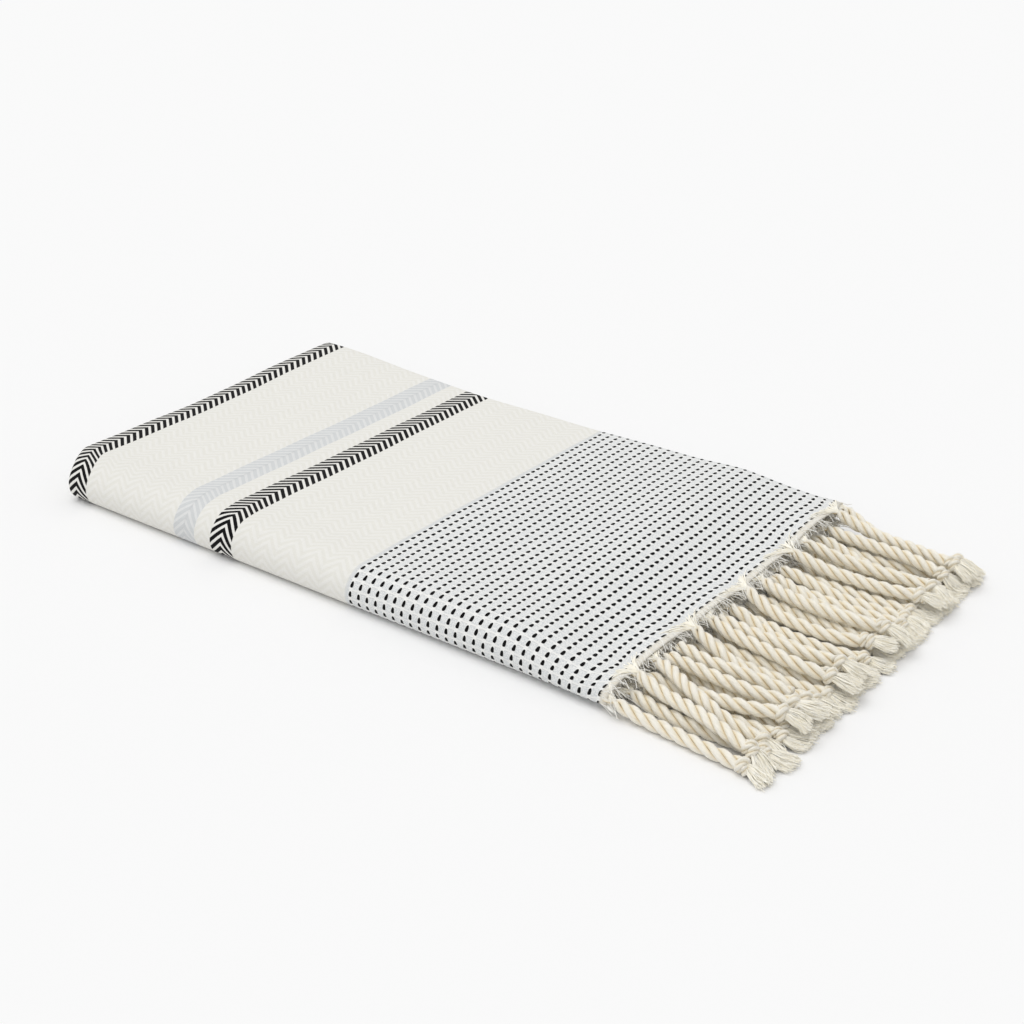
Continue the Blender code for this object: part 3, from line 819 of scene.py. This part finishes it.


# cotton strands with painted shade: cream on the outward side, darkening through a middle tone to tan in the
# grooves between strands, with fine fibres laid aslant
def cordMaterial():
    tree, length, aroundShare = emptyMaterial("creamCordCotton")
    mm = calc(tree, "MULTIPLY", length, 1000.0)
    away = calc(tree, "ABSOLUTE", aroundShare)
    tone = grain(tree, calc(tree, "MULTIPLY", mm, 0.05), 0.0, 0.0, 1.0)
    # painted groove shade: the farther a point lies round from the strand's outward side, the darker and
    # more tan its colour
    grooveShadeShare = calc(tree, "ADD", away, calc(tree, "MULTIPLY", calc(tree, "SUBTRACT", tone, 0.5), 0.12))
    colour = blendColour(tree, edgeOf(tree, grooveShadeShare, 0.05, 0.25), cordTone["light"], cordTone["middle"])
    colour = blendColour(tree, edgeOf(tree, grooveShadeShare, 0.21, 0.36), colour, cordTone["paintedGrooveShade"])
    slant = calc(tree, "MULTIPLY_ADD", mm, 0.055, aroundShare)
    fibre = grain(tree, calc(tree, "MULTIPLY", slant, 26.0), calc(tree, "MULTIPLY", mm, 0.22), 0.0, 1.0, 3.0)
    shade = tree.nodes.new("ShaderNodeHueSaturation")
    tree.links.new(colour, shade.inputs["Color"])
    tree.links.new(calc(tree, "MULTIPLY_ADD", fibre, 0.20, 0.90), shade.inputs["Value"])
    return startMaterial("creamCordCotton", 0.85, 0.3, 0.0006, fibre, shade.outputs[0])


# loose yarn: lighter and darker lengths
def tipMaterial():
    tree, length, aroundShare = emptyMaterial("brushedTipCotton")
    mm = calc(tree, "MULTIPLY", length, 1000.0)
    tone = grain(tree, calc(tree, "MULTIPLY", mm, 0.21), aroundShare, 0.0, 1.0)
    colour = blendColour(tree, edgeOf(tree, tone, 0.35, 0.65), cordTone["tipLight"], cordTone["tipDark"])
    fuzz = grain(tree, mm, calc(tree, "MULTIPLY", aroundShare, 6.0), 0.0, 2.0)
    return startMaterial("brushedTipCotton", 0.9, 0.3, 0.00001, fuzz, colour)


# frayed ends of the white ground yarns, here and there a blue-grey one
def frayMaterial():
    tree, length, aroundShare = emptyMaterial("frayedYarn")
    mm = calc(tree, "MULTIPLY", length, 1000.0)
    tone = grain(tree, calc(tree, "MULTIPLY", mm, 0.01), aroundShare, 0.0, 40.0, 0.0)
    paleYarn, greyYarn = cordTone["frayLight"], cordTone["frayGrey"]
    colour = blendColour(tree, edgeOf(tree, tone, 0.66, 0.74), paleYarn, greyYarn)
    fuzz = grain(tree, mm, calc(tree, "MULTIPLY", aroundShare, 6.0), 0.0, 2.0)
    return startMaterial("frayedYarn", 0.9, 0.3, 0.00001, fuzz, colour)


routes = letDown(cordGuides(cordRows))
print("cords let down,", len(routes))


# three strands twisted round each route: offset (cos a * left + sin a * up), a turning with length;
# at the root the strands lie side by side, as they leave the cloth
def strandTubes(routes, rng):
    count = len(routes)
    steps = twist["stations"]
    lengthOf = knot["at"] * (1.0 + 0.03 * rng.standard_normal(count))
    shares = np.linspace(0.0, 1.0, steps)[None, :] * (lengthOf / cords["length"])[:, None]
    middle = smoothAlong(routes, shares)
    _, left, up = directions(middle)
    reach = shares * cords["length"]
    start = rng.uniform(0.0, 2.0 * math.pi, count)
    turns = 2.0 * math.pi * reach / (twist["turn"] * (1.0 + 0.06 * rng.standard_normal(count))[:, None])
    twisted = smoothStep(reach, 0.0020, 0.0100)
    parts = []
    for strand in range(3):
        angle = turns + (start + 2.0 * math.pi * strand / 3.0)[:, None]
        radial = np.cos(angle)[..., None] * left + np.sin(angle)[..., None] * up
        fanned = (strand - 1.0) * twist["fan"] * left
        offset = twisted[..., None] * twist["strandOffset"] * radial
        offset = offset + (1.0 - twisted)[..., None] * fanned
        thin = twist["rootStrandRadius"]
        radii = thin + (twist["strandRadius"] - thin) * smoothStep(reach, 0.0, 0.0140)
        outward = twisted[..., None] * radial + (1.0 - twisted)[..., None] * up
        curve = middle + offset
        curve[..., 2] = np.maximum(curve[..., 2], radii)
        parts.append(tubes(curve, radii, outward, twist["sides"], rng.uniform(0.0, 9.0, count)))
    return parts


# the knot at each tip: a thinner three-strand length wound once and a half round the cord
def knotTubes(routes, rng):
    count, steps = len(routes), knot["steps"]
    wound = np.linspace(0.0, 1.0, steps)
    at = (knot["at"] - 0.001 + knot["length"] * wound) / cords["length"]
    middle = smoothAlong(routes, np.tile(at, (count, 1)))
    _, left, up = directions(middle)
    start = rng.uniform(0.0, 2.0 * math.pi, (count, 1))
    angle = start - 2.0 * math.pi * knot["turns"] * wound[None, :]
    radial = np.cos(angle)[..., None] * left + np.sin(angle)[..., None] * up
    core = middle + knot["radius"] * radial
    along = np.gradient(core, axis=1)
    along /= np.linalg.norm(along, axis=-1, keepdims=True)
    side = np.cross(along, radial)
    parts = []
    for strand in range(3):
        roll = 2.0 * math.pi * (knot["strandTurns"] * wound[None, :] + strand / 3.0) + start
        out = np.cos(roll)[..., None] * radial + np.sin(roll)[..., None] * side
        ends = 0.55 + 0.45 * np.sin(math.pi * wound) ** 0.5
        curve = core + knot["strandOffset"] * ends[None, :, None] * out
        radii = np.tile(knot["strandRadius"] * ends, (count, 1))
        curve[..., 2] = np.maximum(curve[..., 2], radii)
        parts.append(tubes(curve, radii, out, knot["sides"], rng.uniform(0.0, 9.0, count)))
    return parts


brush = {
    "yarns": 165,
    "steps": 5,
    "length": 0.0130,
    "neck": 0.0016,             # half its width at the knot
    "halfWidth": (0.0052, 0.0076),
    "halfDepth": 0.0018,
    "turned": 0.35,             # how far it may point aside, in radians
    "lengthSpread": 0.065,
    "waviness": 0.00055,
    "sinking": 0.0035,
    "yarnRadius": 0.00021,
}


# loose ends past each knot: a flat paddle of yarns laid side by side in layers, cut off evenly; each
# starts in the knot, bends out by its share of the paddle's width and sinks to the surface
def brushTubes(routes, rng):
    count, yarns, steps = len(routes), brush["yarns"], brush["steps"]
    at = (knot["at"] + 0.5 * knot["length"]) / cords["length"]
    middle = smoothAlong(routes, np.tile([at, at + 0.01], (count, 1)))
    along, left, up = (part[:, 0, None, None] for part in directions(middle))
    share = np.linspace(0.0, 1.0, steps)
    spread = rng.uniform(-1.0, 1.0, (count, yarns, 1))
    layer = rng.uniform(-1.0, 1.0, (count, yarns, 1)) * np.sqrt(1.0 - 0.7 * spread**2)
    wide = rng.uniform(*brush["halfWidth"], (count, 1, 1))
    turned = rng.uniform(-brush["turned"], brush["turned"], (count, 1, 1))
    long = brush["length"] * rng.uniform(0.9, 1.1, (count, 1, 1))
    long = long * (1.0 + brush["lengthSpread"] * rng.standard_normal((count, yarns, 1)))
    forward = long * share * (1.0 - 0.10 * spread**2)
    opened = smoothStep(share, -0.25, 0.75)
    sideShift = (brush["neck"] + (wide - brush["neck"]) * opened) * spread + np.tan(turned) * forward * share
    rise = brush["halfDepth"] * layer * (1.0 + 0.15 * share)
    rise = rise + 0.0003 * rng.standard_normal((count, yarns, 1)) * share
    curve = middle[:, :1, None] + forward[..., None] * along
    curve = curve + sideShift[..., None] * left + rise[..., None] * up
    sunk = 0.0016 + 0.9 * rise + 0.0002
    low = smoothStep(share, 0.1, 1.0)
    near = np.clip(1.0 - (middle[:, :1, None, 2] - 0.0075) / 0.004, 0.0, 1.0)
    curve[..., 2] += near * low * (sunk - curve[..., 2])
    curve[..., 2] -= (1.0 - near) * brush["sinking"] * share**2
    curve[..., :2] += brush["waviness"] * rng.standard_normal(curve[..., :2].shape) * share[:, None]
    radii = np.full(curve.shape[:3], brush["yarnRadius"]) * (1.0 - 0.25 * share)
    curve[..., 2] = np.maximum(curve[..., 2], radii)
    curve = curve.reshape(-1, steps, 3)
    outward = np.broadcast_to(np.array([0.0, 1.0, 1.0]), curve.shape)
    return [tubes(curve, radii.reshape(-1, steps), outward, 4, rng.uniform(0.0, 9.0, len(curve)))]


gathered = {
    "yarns": 48,                # at each root
    "steps": 7,
    "widest": 0.040,            # stretch of the edge that one root draws in
    "start": 0.0055,            # how far up the cloth they start
    "past": 0.0020,             # and how far past its edge they end
    "yarnRadius": 0.00030,
}


# the cloth's yarns drawn together at each root: each starts on the cloth beside the root and closes in
# on it as (1 - t)^0.9 while it runs out past the cut edge
def gatherTubes(ply, rng):
    yarns, steps = gathered["yarns"], gathered["steps"]
    roots = rootLengths(ply)
    gap = np.minimum(roots[1:-1] - roots[:-2], roots[2:] - roots[1:-1])
    gap = np.minimum(gap, gathered["widest"])
    w = np.repeat(roots[1:-1], yarns)
    beside = np.repeat(gap, yarns) * 0.5 * rng.uniform(-1.0, 1.0, len(w))
    height = (outerPly if ply == "outer" else innerPly) + 0.3 * fold["thickness"]
    t = np.linspace(0.0, 1.0, steps)
    start, reach = gathered["start"], gathered["start"] + gathered["past"]
    places = []
    for share in t:
        outlineAt = np.array([[cutX - start + reach * share, height + 0.0004 * math.sin(math.pi * share)]])
        fromCut = max(0.0, start - reach * share)
        alongAt = np.array([fromCut if ply == "outer" else clothLength - fromCut])
        drawnIn = w + beside * (1.0 - share) ** 0.9
        places.append(clothPoints(outlineAt, alongAt, clothLength, drawnIn)[:, 0])
    curve = np.stack(places, axis=1)
    curve[..., 0] += rng.normal(0.0, 0.0008, (len(w), 1)) - 0.0007
    curve += rng.normal(0.0, 0.00030, (len(w), 1, 3)) + rng.normal(0.0, 0.00012, curve.shape)
    radii = gathered["yarnRadius"] * (1.0 - 0.3 * (2.0 * t - 1.0) ** 2) + np.zeros((len(w), 1))
    curve[..., 2] = np.maximum(curve[..., 2], radii)
    outward = np.broadcast_to(np.array([1.0, 0.0, 1.0]), curve.shape)
    return tubes(curve, radii, outward, 4, rng.uniform(0.0, 9.0, len(w)))


frays = {
    "yarns": 900,               # along the whole edge
    "steps": 6,
    "start": 0.003,             # how far up the cloth they start
    "length": (0.003, 0.0085),
    "fall": 0.35,               # share of its length that a yarn falls
    "yarnRadius": 0.00020,
}


# frayed yarns along one end's cut edge: start + length t (forward + lean sideways) - fall length t^2 up
def frayTubes(ply, rng):
    yarns, steps = frays["yarns"], frays["steps"]
    roots = rootLengths(ply)
    w = rng.uniform(stations[0] + 0.006, stations[-1] - 0.006, yarns)
    height = outerPly if ply == "outer" else innerPly
    outlineAt = np.array([[cutX - frays["start"], height + 0.35 * fold["thickness"]]])
    alongAt = np.array([frays["start"] if ply == "outer" else clothLength - frays["start"]])
    place = clothPoints(outlineAt, alongAt, clothLength, w)[:, 0]
    sideOf = clothPoints(outlineAt, alongAt, clothLength, w + 0.0005)[:, 0] - place
    sideOf /= np.linalg.norm(sideOf, axis=-1, keepdims=True)
    share, _ = betweenRoots(w, roots)
    long = rng.uniform(*frays["length"], yarns) * (0.6 + 0.5 * np.sin(math.pi * share))
    lean = rng.normal(0.0, 0.55, yarns) - 0.9 * np.cos(math.pi * share)
    t = np.linspace(0.0, 1.0, steps)[None, :, None]
    curl = rng.normal(0.0, 0.0012, (yarns, 1, 3))
    forward = np.array([1.0, 0.0, 0.0])
    curve = (
        place[:, None] + long[:, None, None] * t * (forward + lean[:, None, None] * sideOf[:, None])
        - long[:, None, None] * frays["fall"] * t**2 * np.array([0.0, 0.0, 1.0]) + curl * t * (1.0 - 0.4 * t)
    )
    radii = np.full((yarns, steps), frays["yarnRadius"])
    curve[..., 2] = np.maximum(curve[..., 2], 0.0003)
    outward = np.broadcast_to(np.array([0.0, 1.0, 1.0]), curve.shape)
    return [tubes(curve, radii, outward, 4, rng.uniform(0.0, 9.0, yarns))]


creamCord, brushedTip, frayed = cordMaterial(), tipMaterial(), frayMaterial()
pieces = {}
for ply, seed in (("outer", 11), ("inner", 23)):
    rng = np.random.default_rng(seed)
    chosen = routes[[i for i, row in enumerate(cordRows) if row[0] == ply]]
    pieces[ply] = [
        tubeObject(ply + "EndCords", strandTubes(chosen, rng) + knotTubes(chosen, rng), creamCord),
        tubeObject(ply + "EndBrushes", brushTubes(chosen, rng) + [gatherTubes(ply, rng)], brushedTip,
                   False),
        tubeObject(ply + "EndFrays", frayTubes(ply, rng), frayed, False),
    ]
    print(ply, "end's fringe made,", [len(piece.data.polygons) for piece in pieces[ply]], "faces")

fringe = pieces["outer"] + pieces["inner"]
for piece in [towel] + fringe:
    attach(piece, "root")
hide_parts("towel_cloth")
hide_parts("fringe_outer_end")
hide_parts("fringe_inner_end")

studio = {
    "floorSide": 24.0,
    "floorColour": (0.905, 0.905, 0.905),
    "ambient": 0.72,
    "sunStrength": 1.12,
    "sunAngle": 55.0,           # degrees, how soft it is
    "sunTilt": (6.0, -20.0),   # degrees about X and Y
    "cameraAt": (0.575, -0.686, 0.4325),
    "cameraDown": 25.9,
    "cameraTurn": 37.05,
    "lens": 57.55,
}


# a plain matt surface
def floorMaterial():
    material = bpy.data.materials.new("paleFloor")
    material.use_nodes = True
    shader = material.node_tree.nodes["Principled BSDF"]
    shader.inputs["Base Color"].default_value = (*studio["floorColour"], 1.0)
    shader.inputs["Roughness"].default_value = 1.0
    shader.inputs["Specular IOR Level"].default_value = 0.0
    return material


side = 0.5 * studio["floorSide"]
floorData = bpy.data.meshes.new("floor")
corners = [(-side, -side, 0.0), (side, -side, 0.0), (side, side, 0.0), (-side, side, 0.0)]
floorData.from_pydata(corners, [], [(0, 1, 2, 3)])
floorData.materials.append(floorMaterial())
floor = bpy.data.objects.new("floor", floorData)
bpy.context.scene.collection.objects.link(floor)

world = bpy.data.worlds.new("studio")
world.use_nodes = True
world.node_tree.nodes["Background"].inputs["Color"].default_value = (1.0, 1.0, 1.0, 1.0)
world.node_tree.nodes["Background"].inputs["Strength"].default_value = studio["ambient"]
bpy.context.scene.world = world

sunData = bpy.data.lights.new("softSun", "SUN")
sunData.energy = studio["sunStrength"]
sunData.angle = math.radians(studio["sunAngle"])
sun = bpy.data.objects.new("softSun", sunData)
sun.rotation_euler = [math.radians(angle) for angle in (*studio["sunTilt"], 0.0)]
bpy.context.scene.collection.objects.link(sun)

cameraData = bpy.data.cameras.new("camera")
cameraData.lens = studio["lens"]
cameraData.sensor_width = 36.0
cameraData.clip_start = 0.01
cameraData.clip_end = 100.0
camera = bpy.data.objects.new("camera", cameraData)
camera.location = studio["cameraAt"]
tilt, turn = math.radians(90.0 - studio["cameraDown"]), math.radians(studio["cameraTurn"])
camera.rotation_euler = (tilt, 0.0, turn)
bpy.context.scene.collection.objects.link(camera)
bpy.context.scene.camera = camera
bpy.context.scene.view_settings.view_transform = "Standard"
print("surface, light and camera set")
